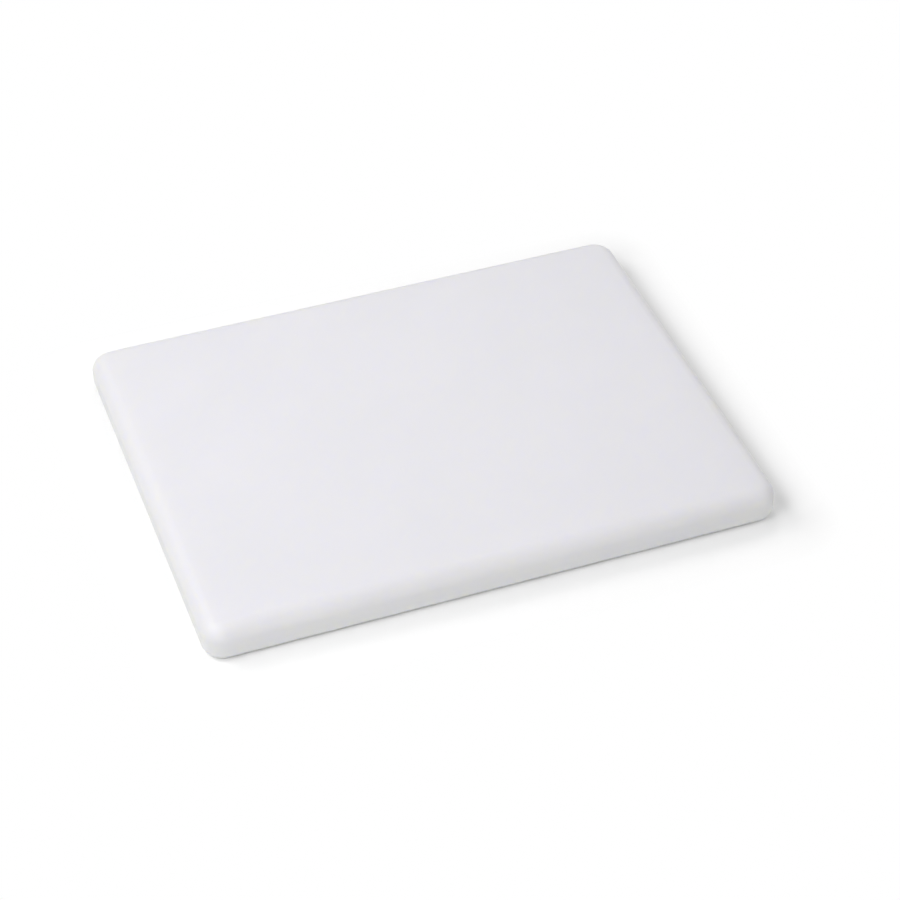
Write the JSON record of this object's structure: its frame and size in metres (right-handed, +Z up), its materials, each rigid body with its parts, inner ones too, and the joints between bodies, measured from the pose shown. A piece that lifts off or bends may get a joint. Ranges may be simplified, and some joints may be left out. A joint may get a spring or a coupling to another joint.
{
  "type": "cutting board",
  "caption": "Flat rectangular slab of white plastic with rounded corners and softly rounded edges, laid on a worktop as a surface for cutting food.",
  "frame": {"origin": "centre of the lower face, which lies on the worktop", "axes": "+X along the board's length, +Y along its width towards the back edge of the picture, +Z up through its thickness"},
  "size_m": [0.33, 0.252, 0.022],
  "materials": {
    "polyethylene": "fine matte grain, slightly translucent"
  },
  "bodies": {
    "root": {"board": "polyethylene"}
  },
  "joints": []
}
